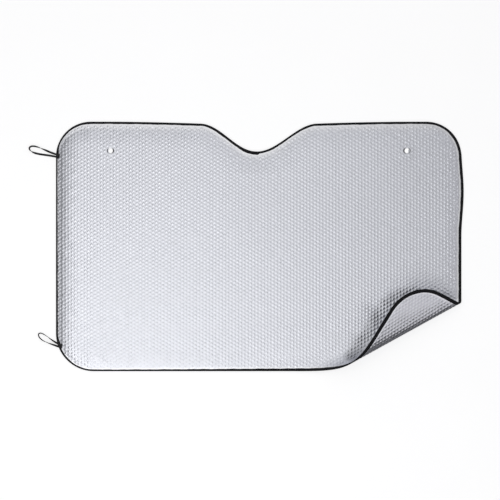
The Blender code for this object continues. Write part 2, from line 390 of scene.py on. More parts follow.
def braided_elastic():
    finish = Finish("black braided elastic", Roughness=0.7, Specular_IOR_Level=0.3)
    across, along, nothing = finish.split(finish.node("ShaderNodeUVMap"))
    slant = ribs(along + across * BRAID_SLANT, BRAID_PITCH)
    counter = ribs(along - across * BRAID_SLANT, BRAID_PITCH)
    braid = ribs(across, ELASTIC_RIB) * 0.5 + slant.maths("MAXIMUM", counter) * 0.5
    finish.shade("Base Color", finish.blend(braid, (0.004, 0.004, 0.005, 1), (0.016, 0.016, 0.018, 1)))
    finish.shade("Roughness", 0.75 - 0.15 * braid)
    finish.bump(braid, 0.0002, 0.8)
    return finish.material


def sewing_thread():
    finish = Finish("black polyester thread", Roughness=0.45)
    fibres = finish.noise(finish.place(), FIBRE_SCALE)
    finish.shade("Base Color", finish.blend(fibres, (0.012, 0.012, 0.014, 1), (0.035, 0.035, 0.040, 1)))
    finish.bump(fibres, 0.0001, 0.5)
    return finish.material


tape_finish, elastic_finish, thread_finish = woven_tape(), braided_elastic(), sewing_thread()
print("finishes", tape_finish.name, elastic_finish.name, thread_finish.name)

# %% [markdown]
# Everything on the sheet follows its outline: a rounded rectangle, with larger corners below than above, a
# cosine dip for the mirror in its top edge and a faint bulge in its right side. One function gives it as
# closely spaced points with the direction that points into the sheet, and every piece starts from these.

# %% Sheet outline
SHEET_WIDTH = 1.300
SHEET_HEIGHT = 0.800
UPPER_CORNER_RADIUS = 0.1120
LOWER_CORNER_RADIUS = 0.1215
NOTCH_WIDTH = 0.380
NOTCH_DEPTH = 0.0895
NOTCH_LEAN = -0.006
NOTCH_SHOULDER_DROP = 0.006
NOTCH_SHOULDER_RUN = 0.300
NOTCH_SHOULDER_POWER = 1.8
BULGE = 0.0073
BULGE_BELOW_TOP = 0.225
BULGE_HALF_LENGTH = 0.145
OUTLINE_STEP = 0.004
NOTCH_STEPS = 104
SHOULDER_STEPS = 70


def run(start, end, inward):
    """Points of a straight edge, without its end."""
    start, end = Vector(start), Vector(end)
    steps = max(1, round((end - start).length / OUTLINE_STEP))
    for step in range(steps):
        yield start.lerp(end, step / steps), Vector(inward)


def unit(angle):
    """The flat vector of length 1 at an angle."""
    return Vector((math.cos(angle), math.sin(angle)))


def round_corner(side_x, side_y, first_angle):
    radius = UPPER_CORNER_RADIUS if side_y > 0 else LOWER_CORNER_RADIUS
    centre = Vector((side_x * (SHEET_WIDTH / 2 - radius), side_y * (SHEET_HEIGHT / 2 - radius)))
    steps = round(radius * math.pi / 2 / OUTLINE_STEP)
    for step in range(steps):
        outward = unit(math.radians(first_angle + 90 * step / steps))
        yield centre + outward * radius, -outward


def mirror_notch():
    """The dip and the shoulders that fall a little towards it, from right to left."""
    shoulder = []
    for step in range(SHOULDER_STEPS):
        share = step / SHOULDER_STEPS
        fall = NOTCH_SHOULDER_DROP * share ** NOTCH_SHOULDER_POWER
        shoulder.append((NOTCH_WIDTH / 2 + NOTCH_SHOULDER_RUN * (1 - share), SHEET_HEIGHT / 2 - fall))
    points = [Vector(spot) for spot in shoulder]
    for step in range(NOTCH_STEPS + 1):
        across = 1 - 2 * step / NOTCH_STEPS
        dip = (1 + math.cos(math.pi * across)) / 2
        height = SHEET_HEIGHT / 2 - NOTCH_SHOULDER_DROP - NOTCH_DEPTH * dip
        points.append(Vector((NOTCH_WIDTH / 2 * across + NOTCH_LEAN * dip, height)))
    points += [Vector((-from_middle, height)) for from_middle, height in reversed(shoulder)]
    for here, point in enumerate(points):
        travel = points[min(here + 1, len(points) - 1)] - points[max(here - 1, 0)]
        yield point, Vector((-travel.y, travel.x)).normalized()


def sheet_outline():
    """Anticlockwise from the lower left corner's end, as [(point, inward)]."""
    right, top = SHEET_WIDTH / 2, SHEET_HEIGHT / 2
    low, high = LOWER_CORNER_RADIUS, UPPER_CORNER_RADIUS
    shoulder = NOTCH_WIDTH / 2 + NOTCH_SHOULDER_RUN
    stations = [
        *run((low - right, -top), (right - low, -top), (0, 1)), *round_corner(1, -1, -90),
        *run((right, low - top), (right, top - high), (-1, 0)), *round_corner(1, 1, 0),
        *run((right - high, top), (shoulder, top), (0, -1)), *mirror_notch(),
        *[*run((-shoulder, top), (high - right, top), (0, -1))][1:], *round_corner(-1, 1, 90),
        *run((-right, top - high), (-right, low - top), (1, 0)), *round_corner(-1, -1, 180)]
    for point, inward in stations:
        along = (point.y - (SHEET_HEIGHT / 2 - BULGE_BELOW_TOP)) / BULGE_HALF_LENGTH
        if abs(along) < 1:
            point.x += BULGE * math.cos(math.pi / 2 * along) ** 2 * max(0.0, -inward.x)
    return stations


outline = sheet_outline()
perimeter = sum((outline[here][0] - outline[here - 1][0]).length for here in range(len(outline)))
print(len(outline), "outline points, perimeter", round(perimeter, 3), "m")

# %% [markdown]
# The corner is rolled over the front. Film bends without stretching, so the roll is part of a cone: straight
# lines through one apex stay straight, and the sheet turns about each of them in turn. The roll is worked out
# once as a table of rotations, one for each small step of angle about the apex. Every piece is made flat
# first, and this function then bends it, so film, bubbles, tape and stitches stay together.

# %% Rolling the corner
FOIL_THICKNESS = 0.0040
PRESSED_THICKNESS = 0.0018
GAP = 0.0003
TAPE_THICKNESS = 0.0008
TAPE_INSIDE = PRESSED_THICKNESS / 2 + GAP
TAPE_OUTSIDE = TAPE_INSIDE + TAPE_THICKNESS
MID_HEIGHT = max(FOIL_THICKNESS / 2, TAPE_OUTSIDE)
APEX_BEYOND_RIGHT = 0.1366
APEX_ABOVE_BOTTOM = 0.2970
APEX = Vector((SHEET_WIDTH / 2 + APEX_BEYOND_RIGHT, APEX_ABOVE_BOTTOM - SHEET_HEIGHT / 2, MID_HEIGHT))
CURL_START = math.radians(201.55)
CURL_SPAN = math.radians(17.4)
CURL_TURN = math.radians(151.8)
CURL_STEPS = 300
CORNER_TIP = 0.037


def smooth_step(share):
    share = np.clip(share, 0.0, 1.0)
    return share * share * (3 - 2 * share)


def roll_turns():
    """The rotation of the sheet after each step of angle, as an array of 3 by 3 matrices."""
    turns = [Matrix.Identity(3)]
    for step in range(CURL_STEPS):
        turned = smooth_step((step + 1) / CURL_STEPS) - smooth_step(step / CURL_STEPS)
        angle = CURL_START + CURL_SPAN * (step + 0.5) / CURL_STEPS
        ruling = turns[-1] @ unit(angle).to_3d()
        turns.append(Matrix.Rotation(CURL_TURN * turned, 3, ruling) @ turns[-1])
    return np.array([[list(row) for row in turn] for turn in turns])


ROLL_TURNS = roll_turns()


def about_apex(spots):
    """The direction in which each flat spot lies from the apex, from 0 to a whole turn."""
    return np.mod(np.arctan2(spots[:, 1] - APEX.y, spots[:, 0] - APEX.x), math.tau)


def roll_corner(points):
    """Bends flat points, given with their height above the sheet's middle plane, into the rolled sheet."""
    arms = np.array(points, float)
    progress = np.clip((about_apex(arms) - CURL_START) / CURL_SPAN, 0, 1) * CURL_STEPS
    arms[:, :2] -= np.array(APEX.xy)
    step = np.minimum(progress.astype(int), CURL_STEPS - 1)
    share = (progress - step)[:, None]
    before = np.einsum("nij,nj->ni", ROLL_TURNS[step], arms)
    after = np.einsum("nij,nj->ni", ROLL_TURNS[step + 1], arms)
    return before * (1 - share) + after * share + np.array(APEX)


CROWN_HEIGHTS = (0.0062, 0.0045, 0.0018)
CROWN_RUNS = (0.047, 0.060, 0.040)
CROWN_FADE = math.radians(9.0)
FLAT_RIMS = (0.011, 0.016, 0.008, 0.021)
LEFT_ZONE = (0.20, 0.15)
RIGHT_ZONE = (0.50, 0.45)


def by_side(inward, left, right, bottom, top):
    """A blend of the values of the four sides. Round the corners one fades into the next."""
    across = right * max(0.0, -inward.x) ** 2 + left * max(0.0, inward.x) ** 2
    return across + top * max(0.0, -inward.y) ** 2 + bottom * max(0.0, inward.y) ** 2


def nearest_rim(points):
    """The number of the outline point nearest to each flat point, and its distance."""
    rim = kdtree.KDTree(len(outline))
    for number, (point, inward) in enumerate(outline):
        rim.insert((*point, 0.0), number)
    rim.balance()
    spots, numbers, distances = zip(*[rim.find((point[0], point[1], 0.0)) for point in points])
    return np.array(numbers), np.array(distances)


def crown(points):
    """How far the middle of the sheet stands above its pulled-in edges, most of all at the left."""
    flat_rims = np.array([by_side(inward, *FLAT_RIMS) for point, inward in outline])
    numbers, distances = nearest_rim(points)
    inside = np.maximum(0.0, distances - flat_rims[numbers])
    leftness = smooth_step((-points[:, 0] - SHEET_WIDTH / 2 + LEFT_ZONE[0]) / LEFT_ZONE[1])
    rightness = smooth_step((points[:, 0] - SHEET_WIDTH / 2 + RIGHT_ZONE[0]) / RIGHT_ZONE[1])

    def from_left_to_right(left, middle, right):
        return middle + (left - middle) * leftness + (right - middle) * rightness

    rise = 1 - (1 - np.clip(inside / from_left_to_right(*CROWN_RUNS), 0, 1)) ** 2
    before_roll = smooth_step((CURL_START - about_apex(points)) / CROWN_FADE)
    return from_left_to_right(*CROWN_HEIGHTS) * rise * before_roll


def vectors(source, key):
    """The positions or normals of a mesh's vertices, one row for each."""
    values = np.zeros(len(source) * 3, np.float32)
    source.foreach_get(key, values)
    return values.reshape(-1, 3).astype(float)


def lay_on_floor(mesh):
    """Crowns and bends a flat mesh in place."""
    flat = vectors(mesh.vertices, "co")
    flat[:, 2] += crown(flat)
    mesh.vertices.foreach_set("co", roll_corner(flat).astype(np.float32).ravel())
    mesh.update()


tip = roll_corner([(SHEET_WIDTH / 2 - CORNER_TIP, CORNER_TIP - SHEET_HEIGHT / 2, 0.0)])[0]
print("the corner's tip goes to", [round(float(value), 3) for value in tip])

# %% [markdown]
# The tape was fed unevenly: it shows least at the top left and most at the right and along the bottom towards
# the rolled corner, its edge wanders a little, and it lies wider where the loops are sewn in. Inside it the two
# films are welded flat in a strip that is hardly there at the left and broad at the top and right.

# %% Tape and weld widths
TAPE_FRONT_WIDTH = 0.0070
TAPE_BACK_WIDTH = 0.0112
TOP_EXTRA = 0.0004
RIGHT_EXTRA = 0.0022
LEFT_LESS = 0.0024
LEFT_LESS_BELOW = 0.2
BOTTOM_LESS = 0.0015
BOTTOM_EXTRA = 0.0025
BOTTOM_RAMP = (0.50, 0.80)
LOOP_EXTRA = 0.0050
LOOP_EXTRA_RUN = 0.042
LOOP_EXTRA_FADE = 0.006
WANDER = 0.00025
WANDER_WAVES = ((61, 0, 1.0), (143, 1, 1.0), (397, 0, 0.6))
BACK_WANDER_WAVE = 88
ROOT_HEIGHTS = (SHEET_HEIGHT / 2 - 0.1115, 0.0745 - SHEET_HEIGHT / 2)
FRONT_WELDS = (0.0003, 0.0050, 0.0025, 0.0040)
BACK_WELD = TAPE_BACK_WIDTH + GAP


def with_travel(points):
    """The outline as [(point, inward, how far round the sheet the point is, in metres)]."""
    travelled = 0.0
    for here, (point, inward) in enumerate(points):
        travelled += (point - points[here - 1][0]).length if here else 0.0
        yield point, inward, travelled


stations = list(with_travel(outline))


def front_width(point, inward, at):
    """How much tape shows on the front."""
    upness = LEFT_LESS_BELOW + (1 - LEFT_LESS_BELOW) * smooth_step(0.5 + point.y / SHEET_HEIGHT)
    rightness = smooth_step((point.x + BOTTOM_RAMP[0]) / BOTTOM_RAMP[1])
    along_bottom = (BOTTOM_EXTRA + BOTTOM_LESS) * rightness - BOTTOM_LESS
    width = TAPE_FRONT_WIDTH + by_side(inward, -LEFT_LESS * upness, RIGHT_EXTRA, along_bottom, TOP_EXTRA)
    width += WANDER * sum(gain * math.sin(at * wave + phase) for wave, phase, gain in WANDER_WAVES)
    if point.x < 0:
        for root in ROOT_HEIGHTS:
            above = point.y - root
            reach = LOOP_EXTRA_RUN if above > 0 else LOOP_EXTRA_FADE
            width += LOOP_EXTRA * smooth_step(1 - abs(above) / reach)
    return width


def front_weld(point, inward, at):
    """How far in from the edge the front film is pressed flat."""
    return front_width(point, inward, at) + by_side(inward, *FRONT_WELDS)


widths = [front_width(*station) for station in stations]
print("tape shows", round(min(widths) * 1000, 1), "to", round(max(widths) * 1000, 1), "mm")

# %% [markdown]
# Shade and dark reflections are painted into the film's colour along the left edge, beside the roll, on its
# fold and in spots near the top edge, and a highlight is painted on film near the top edge. Two attributes hold
# this for each vertex. They depend on where it is on the flat sheet and on the side of a bubble that it is on.

# %% Painted shade and highlights on the film
# Where painted shade, dark reflections and a painted highlight go on the film, how strong they are, and which
# way the normals that take them face.
UNDER_FLAP_EDGE = ((0.298, -0.352), (0.338, -0.298), (0.380, -0.232), (0.410, -0.187), (0.455, -0.158),
                   (0.500, -0.148))
FLAP_PAINTED_SHADE, FLAP_PAINTED_SHADE_REACH = 1.35, 0.031
LEFT_PAINTED_SHADE, LEFT_PAINTED_SHADE_REACH = 0.64, 0.055
TOP_PAINTED_SHADE, TOP_PAINTED_HIGHLIGHT, TOP_REACH = 0.30, 1.0, 0.034
FOLD_PAINTED_SHADE = 1.5
FOLD_DIRECTIONS = (math.radians(217.0), math.radians(227.5))
FLAP_FACING = ((0.85, -0.5), 0.48, 3.0)
LEFT_FACING = ((-1, 0), 0.35, 1.6)
TOP_FACING = ((0, -1), 0.2, 2.0)
HIGHLIGHT_FACING = ((0, 1), 0.5, 2.0)
FOLD_FACING = ((-0.5, 0.85), 0.3, 6.0)
GRAIN_WAVES = (1931, 1277, 1489)


def beside_flap(spots):
    """How far each spot of the flat sheet is from the line that the flap's edge hangs over."""
    nearest = np.full(len(spots), np.inf)
    for start, end in zip(UNDER_FLAP_EDGE, UNDER_FLAP_EDGE[1:]):
        edge, arm = np.subtract(end, start), spots - start
        share = np.clip(arm @ edge / (edge @ edge), 0, 1)
        nearest = np.minimum(nearest, np.linalg.norm(arm - share[:, None] * edge, axis=1))
    return nearest


def vertex_values(mesh, name, missing):
    """A mesh's own values of an attribute, or one value for all where it has none."""
    values = np.full(len(mesh.vertices), missing, np.float32)
    if name in mesh.attributes:
        mesh.attributes[name].data.foreach_get("value", values)
    return values


def write_values(mesh, name, values):
    layer = mesh.attributes.get(name) or mesh.attributes.new(name, "FLOAT", "POINT")
    layer.data.foreach_set("value", np.clip(values, 0, 1).astype(np.float32))


def facing(looks, direction, start, gain):
    """How far each normal turns to a direction on the flat sheet, from 0 to 1, by a start and a gain."""
    return smooth_step(start + gain * (looks[:, :2] @ direction))


# Painted shade and dark reflections on the front: beside the flap's edge, along the left edge and in spots near
# the top edge.
def painted_shade_on_front(spots, looks, near_top):
    by_flap = FLAP_PAINTED_SHADE * smooth_step(1.4 * (1 - beside_flap(spots) / FLAP_PAINTED_SHADE_REACH))
    by_left = LEFT_PAINTED_SHADE * smooth_step(1 - (spots[:, 0] + SHEET_WIDTH / 2) / LEFT_PAINTED_SHADE_REACH)
    painted_shade = np.maximum(by_flap * facing(looks, *FLAP_FACING),
                         by_left * (0.5 + 0.5 * facing(looks, *LEFT_FACING)))
    return np.maximum(painted_shade, TOP_PAINTED_SHADE * near_top * facing(looks, *TOP_FACING))


# Painted dark reflections on the back, along the roll's fold.
def painted_shade_on_back(spots, looks):
    first, last = FOLD_DIRECTIONS
    direction = about_apex(spots)
    near_fold = smooth_step((last - direction) / (last - first)) * (direction > CURL_START)
    return FOLD_PAINTED_SHADE * near_fold * (0.05 + 0.95 * facing(looks, *FOLD_FACING))


def mark_film(mesh):
    """Writes painted shade and dark reflections, and a paler weld with a painted highlight, into a flat mesh's
    attributes.
    """
    spots = vectors(mesh.vertices, "co")[:, :2]
    looks = vectors(mesh.vertex_normals, "vector")
    x, y = spots.T
    across, bend, up = GRAIN_WAVES
    grain = 0.5 + 0.5 * np.sin(x * across + 3 * np.sin(y * bend)) * np.sin(y * up)
    numbers, distances = nearest_rim(spots)
    topness = np.array([max(0.0, -inward.y) ** 2 for point, inward in outline])[numbers]
    near_top = topness * smooth_step(1.3 * (1 - distances / TOP_REACH))
    front = looks[:, 2] > 0
    painted_shade = np.where(front, painted_shade_on_front(spots, looks, near_top) * (0.45 + 0.55 * grain),
                       painted_shade_on_back(spots, looks) * (0.3 + 0.7 * grain))
    write_values(mesh, "painted_shade", np.maximum(vertex_values(mesh, "painted_shade", 0.0), painted_shade))
    # Welded film is made paler, and film near the top edge gets a painted highlight, most on flanks that face
    # up the sheet.
    top_highlight = TOP_PAINTED_HIGHLIGHT * near_top * (0.55 + 0.45 * facing(looks, *HIGHLIGHT_FACING)) * front
    write_values(mesh, "paler_weld_and_painted_highlight", np.maximum(1 - vertex_values(mesh, "front slope", 1.0), top_highlight))


print("crushed film within", FLAP_PAINTED_SHADE_REACH * 1000, "mm of the flap's edge")

# %% [markdown]
# The laminate's body is thin under the tape and round the punched holes, where it is welded flat, and thicker
# between them. Each hole has a pressed collar that swells a little. The body is drawn as rings of edges that
# follow the outline and the holes, filled in between, and doubled into a front and a back. Each vertex knows
# how far up each side's slope it is. Cuts through the mesh, along the lines that the roll turns about and along
# a plain grid, give it the edges that it needs where it bends.

# %% Laminate body
SLOPE_WIDTH = 0.0030
RING_DEPTHS = (0.0050, 0.0065, 0.0080, 0.0093, 0.0106, 0.0119, 0.0132, 0.0146, 0.0162, 0.0180, 0.0200,
               0.0220, 0.0245)
HOLE_RADIUS = 0.0070
RING_THICKNESS = 0.0010
COLLAR = ((0.0082, 0.0), (0.0092, 0.4), (0.0102, 1.1), (0.0112, 1.8), (0.0122, 2.1), (0.0134, 1.8),
          (0.0146, 1.3), (0.0158, 1.0))
COLLAR_CRUSHED_TO = 0.0118
HOLE_PLACES = [Vector((side * HOLE_SPOT[0], HOLE_SPOT[1])) for side in (-1, 1)]
HOLE_STEPS = 40
FRONT_RELIEF = 0.0009
BACK_RELIEF = 0.0007
FILM_FRONT = FOIL_THICKNESS / 2 - FRONT_RELIEF
FILM_BACK = FOIL_THICKNESS / 2 - BACK_RELIEF
GRID_CUT = 0.050
RULING_CUTS = 56
FILM_LAYERS = ("front slope", "back slope", "weld", "painted_shade")


def inset(depth):
    """The outline moved inwards, by a distance or by a rule for each of its points."""
    if callable(depth):
        depths = [depth(*station) for station in stations]
    else:
        depths = [depth] * len(outline)
    return [point + inward * depth for (point, inward), depth in zip(outline, depths)]


def circle(centre, radius):
    return [centre + radius * unit(math.tau * step / HOLE_STEPS) for step in range(HOLE_STEPS)]


def add_ring(bm, points, *columns):
    """A ring of vertices, with one value or a list of values for each of the film's layers."""
    verts = [bm.verts.new((point.x, point.y, 0)) for point in points]
    for name, column in zip(FILM_LAYERS, columns):
        layer = bm.verts.layers.float[name]
        for vert, value in zip(verts, column if isinstance(column, list) else [column] * len(verts)):
            vert[layer] = float(value)
    return verts


def join_rings(bm, outer, inner):
    for here in range(len(outer)):
        there = (here + 1) % len(outer)
        bm.faces.new((outer[here], outer[there], inner[there], inner[here]))


def cut_along(bm, place, normal):
    everything = bm.verts[:] + bm.edges[:] + bm.faces[:]
    bmesh.ops.bisect_plane(bm, geom=everything, dist=0.00002, plane_co=place, plane_no=normal)


def rim_band(bm):
    """The rings along the rim. Returns the innermost one."""
    ring = add_ring(bm, inset(TAPE_THICKNESS + GAP), 0.0, 0.0)
    welds = [front_weld(*station) for station in stations]
    for depth in RING_DEPTHS:
        front = [smooth_step((depth - weld) / SLOPE_WIDTH) for weld in welds]
        outer, ring = ring, add_ring(bm, inset(depth), front, smooth_step((depth - BACK_WELD) / SLOPE_WIDTH))
        join_rings(bm, outer, ring)
    return ring


def hole_collar(bm, centre):
    """The rings round a punched hole. Returns the outermost one."""
    ring = add_ring(bm, circle(centre, HOLE_RADIUS), 0.0, 0.0, 1.0)
    for number, (radius, share) in enumerate(COLLAR):
        points = circle(centre, radius)
        # Painted shade: the collar is darkened towards its left and right sides, as dark reflections in its
        # slopes.
        painted_shade = [(abs(point.x - centre.x) / radius) ** 2 * (radius < COLLAR_CRUSHED_TO) for point in points]
        inner, ring = ring, add_ring(bm, points, share, min(share, 1.0), float(number == 0), painted_shade)
        join_rings(bm, ring, inner)
    return ring


def cut_for_bends(bm):
    for column in range(int(SHEET_WIDTH / GRID_CUT)):
        cut_along(bm, ((column + 0.5) * GRID_CUT - SHEET_WIDTH / 2, 0, 0), (1, 0, 0))
    for row in range(int(SHEET_HEIGHT / GRID_CUT)):
        cut_along(bm, (0, (row + 0.5) * GRID_CUT - SHEET_HEIGHT / 2, 0), (0, 1, 0))
    for cut in range(RULING_CUTS + 1):
        angle = CURL_START + CURL_SPAN * cut / RULING_CUTS
        cut_along(bm, (APEX.x, APEX.y, 0), (-math.sin(angle), math.cos(angle), 0))


def give_thickness(bm):
    """Doubles the flat film into a front and a back, and sets each vertex to its height."""
    back = set(bm.verts)
    bmesh.ops.extrude_face_region(bm, geom=bm.faces[:], use_keep_orig=True)
    front_layer, back_layer, weld_layer = [bm.verts.layers.float[name] for name in FILM_LAYERS[:3]]
    for vert in bm.verts:
        weld = (PRESSED_THICKNESS + (RING_THICKNESS - PRESSED_THICKNESS) * vert[weld_layer]) / 2
        side, full, layer = (-1, FILM_BACK, back_layer) if vert in back else (1, FILM_FRONT, front_layer)
        vert.co.z = side * (weld + (full - weld) * vert[layer])


def to_mesh(bm, name):
    mesh = bpy.data.meshes.new(name)
    bm.to_mesh(mesh)
    bm.free()
    return mesh


def finished(mesh, finish, sharp_from):
    """The object of a mesh, smooth up to an angle between its faces."""
    mesh.shade_smooth()
    mesh.set_sharp_from_angle(angle=math.radians(sharp_from))
    mesh.materials.append(finish)
    return new_object(mesh.name, mesh)


def laminate():
    bm = bmesh.new()
    for name in FILM_LAYERS:
        bm.verts.layers.float.new(name)
    borders = [rim_band(bm), *[hole_collar(bm, centre) for centre in HOLE_PLACES]]
    edges = [bm.edges.get((ring[here - 1], ring[here])) for ring in borders for here in range(len(ring))]
    bmesh.ops.triangle_fill(bm, edges=edges, use_beauty=True)
    cut_for_bends(bm)
    bmesh.ops.triangulate(bm, faces=bm.faces[:])
    bmesh.ops.recalc_face_normals(bm, faces=bm.faces[:])
    give_thickness(bm)
    bmesh.ops.recalc_face_normals(bm, faces=bm.faces[:])
    mesh = to_mesh(bm, "foil_laminate")
    mark_film(mesh)
    lay_on_floor(mesh)
    return finished(mesh, film_finish, 40)


foil_laminate = laminate()
print("laminate", len(foil_laminate.data.polygons), "faces")

# %% [markdown]
# The bubbles stand in a honeycomb: columns 10.4 mm apart, with a bubble every 12 mm and every second column
# shifted by half. About 8,000 of them on each side are too many to place by hand, so a geometry node tree
# sets a low dome on each point of a shifted grid that lies on the sheet. It then presses the domes down
# towards the welds, where the real bubbles are squashed flat. The tree is run once on the flat sheet, its
# result is kept as a plain mesh, and that mesh is rolled like the rest.

# %% Geometry node helper
SOCKET_KINDS = {float: "NodeSocketFloat", int: "NodeSocketInt", tuple: "NodeSocketVector",
                bpy.types.Material: "NodeSocketMaterial"}


class Pattern(Graph):
    """A geometry node tree with named inputs, which dresses a guide mesh."""

    def __init__(self, name, **values):
        super().__init__(bpy.data.node_groups.new(name, "GeometryNodeTree"))
        self.values = {}
        make = self.tree.interface.new_socket
        make(name="Guide", in_out="INPUT", socket_type="NodeSocketGeometry")
        make(name="Result", in_out="OUTPUT", socket_type="NodeSocketGeometry")
        for key, value in values.items():
            kind = next(SOCKET_KINDS[known] for known in SOCKET_KINDS if isinstance(value, known))
            label = key.replace("_", " ").capitalize()
            socket = make(name=label, in_out="INPUT", socket_type=kind)
            self.values[socket.identifier] = value
        self.source = self.tree.nodes.new("NodeGroupInput")
        self.names = {key: number + 1 for number, key in enumerate(values)}

    def given(self, key):
        """An input of the tree, or its guide."""
        number = 0 if key == "guide" else self.names[key]
        return Wire(self, self.source.outputs[number])

    def keep(self, geometry, left_out, domain="POINT"):
        """A geometry without its left-out points or edges."""
        inputs = {"Geometry": geometry, "Selection": left_out}
        return self.node("GeometryNodeDeleteGeometry", {"domain": domain}, inputs)

    def distance_to(self, kind, geometry, place=None):
        """How far each point, or a place worked out for it, is from the faces or edges of a geometry."""
        inputs = {"Geometry": geometry} | ({"Source Position": place} if place else {})
        return self.node("GeometryNodeProximity", {"target_element": kind}, inputs, "Distance")

    def copies(self, points, shape, turn, size=(1.0, 1.0, 1.0)):
        """Real copies of a shape on points."""
        inputs = {"Points": points, "Instance": shape, "Rotation": turn, "Scale": size}
        placed = self.node("GeometryNodeInstanceOnPoints", None, inputs)
        return self.node("GeometryNodeRealizeInstances", None, {"Geometry": placed})

    def ball(self, segments, rings):
        inputs = {"Segments": segments, "Rings": rings, "Radius": 1.0}
        return self.node("GeometryNodeMeshUVSphere", None, inputs)

    def end(self, geometry):
        """Every tree ends the same way: real geometry with its material, because instances aren't exported."""
        smooth = self.node("GeometryNodeSetShadeSmooth", None, {"Geometry": geometry})
        real = self.node("GeometryNodeRealizeInstances", None, {"Geometry": smooth})
        inputs = {"Geometry": real, "Material": self.given("material")}
        painted = self.node("GeometryNodeSetMaterial", None, inputs)
        self.tree.links.new(painted.socket, self.tree.nodes.new("NodeGroupOutput").inputs[0])

    def run_on(self, guide, name):
        """Evaluates the tree on a guide mesh and returns the result as a plain object."""
        holder = new_object("guide of " + name, guide)
        modifier = holder.modifiers.new("pattern", "NODES")
        modifier.node_group = self.tree
        for identifier, value in self.values.items():
            modifier[identifier] = value
        evaluated = holder.evaluated_get(bpy.context.evaluated_depsgraph_get())
        mesh = bpy.data.meshes.new_from_object(evaluated)
        mesh.name = name
        bpy.data.objects.remove(holder)
        return new_object(name, mesh)


print("geometry helper ready")

# %% Bubbles
BUBBLE_PITCH = 0.0120
COLUMN_SPACING = BUBBLE_PITCH * math.sqrt(3) / 2
BUBBLE_RADIUS = 0.0050
BUBBLE_SIDES = 8
BUBBLE_REACH = 0.0035
ON_SHEET = 0.0002
SINK = 0.00005
SMALLEST = (0.95, 0.95, 0.85)
LARGEST = (1.04, 1.04, 1.12)
TILT = math.radians(1.2)
RIM_UNREST = 4.0
RIM_UNREST_REACH = 0.070


def bubble_region(weld):
    """The part of the flat sheet that isn't welded: inside the rim and outside the two pressed rings."""
    bm = bmesh.new()
    for points in (inset(weld), *[circle(centre, COLLAR_CRUSHED_TO) for centre in HOLE_PLACES]):
        verts = [bm.verts.new((point.x, point.y, 0)) for point in points]
        for here in range(len(verts)):
            bm.edges.new((verts[here - 1], verts[here]))
    bmesh.ops.triangle_fill(bm, edges=bm.edges[:], use_beauty=True)
    return to_mesh(bm, "bubble region")


def lattice(tree):
    """A honeycomb of points that lie on the guide."""
    given = tree.given
    grid = tree.node("GeometryNodeMeshGrid", None, {
        "Size X": (given("columns") - 1) * given("column_spacing"),
        "Size Y": (given("rows") - 1) * given("pitch"),
        "Vertices X": given("columns"), "Vertices Y": given("rows")})
    column = (tree.node("GeometryNodeInputIndex") / given("rows")).maths("FLOOR")
    shift = tree.join(y=column.maths("MODULO", 2.0) * given("pitch") * 0.5)
    shifted = tree.node("GeometryNodeSetPosition", None, {"Geometry": grid, "Offset": shift})
    return tree.keep(shifted, tree.distance_to("FACES", given("guide")) > given("reach"))


def dome(tree):
    """The upper half of a flattened ball."""
    given = tree.given
    x, y, height = tree.split(tree.node("GeometryNodeInputPosition"))
    upper = tree.keep(tree.ball(given("bubble_sides"), 4), height < -0.01)
    size = tree.join(given("bubble_radius"), given("bubble_radius"), given("relief"))
    return tree.node("GeometryNodeTransform", None, {"Geometry": upper, "Scale": size})


def uneven(tree, least, most, seed):
    inputs = {"Min": tree.given(least), "Max": tree.given(most), "Seed": seed}
    return tree.node("FunctionNodeRandomValue", {"data_type": "FLOAT_VECTOR"}, inputs, "Value")


def settled(tree, domes, border):
    """The domes on the film's slope, pressed down to the weld towards the border."""
    given = tree.given
    x, y, raised = tree.split(tree.node("GeometryNodeInputPosition"))
    below = tree.join(x, y)
    on_sheet = tree.distance_to("FACES", given("guide"), below) < ON_SHEET
    blown = tree.smooth(tree.distance_to("EDGES", border, below) / given("slope_width"), 0.0, 1.0) * on_sheet
    level = given("weld_height") + (given("film_height") - given("weld_height")) * blown - given("sink")
    place = tree.join(x, y, raised * blown + level * given("side"))
    return tree.node("GeometryNodeSetPosition", None, {"Geometry": domes, "Position": place})


def bubble_pattern(film_height, relief, upside_down):
    tree = Pattern(
        "bubbles", columns=math.ceil(SHEET_WIDTH / COLUMN_SPACING), rows=math.ceil(SHEET_HEIGHT / BUBBLE_PITCH),
        column_spacing=COLUMN_SPACING, pitch=BUBBLE_PITCH, bubble_radius=BUBBLE_RADIUS,
        bubble_sides=BUBBLE_SIDES, relief=relief, reach=BUBBLE_REACH, slope_width=SLOPE_WIDTH,
        film_height=film_height, weld_height=PRESSED_THICKNESS / 2, sink=SINK,
        turn=(math.pi if upside_down else 0.0, 0.0, 0.0), side=-1.0 if upside_down else 1.0,
        smallest=SMALLEST, largest=LARGEST, least_tilt=(-TILT, -TILT, 0.0), most_tilt=(TILT, TILT, 0.0),
        rim_unrest=0.0 if upside_down else RIM_UNREST, rim_unrest_reach=RIM_UNREST_REACH,
        material=back_finish if upside_down else bubble_finish)
    given = tree.given
    border = tree.keep(given("guide"), tree.node("GeometryNodeInputMeshEdgeNeighbors") > 1.5, "EDGE")
    near_rim = 1.0 - tree.smooth(tree.distance_to("EDGES", border), 0.0, given("rim_unrest_reach"))
    shaken = tree.node("ShaderNodeVectorMath", {"operation": "SCALE"}, {
        0: uneven(tree, "least_tilt", "most_tilt", 1), "Scale": 1.0 + given("rim_unrest") * near_rim})
    turned = tree.node("ShaderNodeVectorMath", {"operation": "ADD"}, {0: given("turn"), 1: shaken})
    domes = tree.copies(lattice(tree), dome(tree), turned, uneven(tree, "smallest", "largest", 2))
    tree.end(settled(tree, domes, border))
    return tree


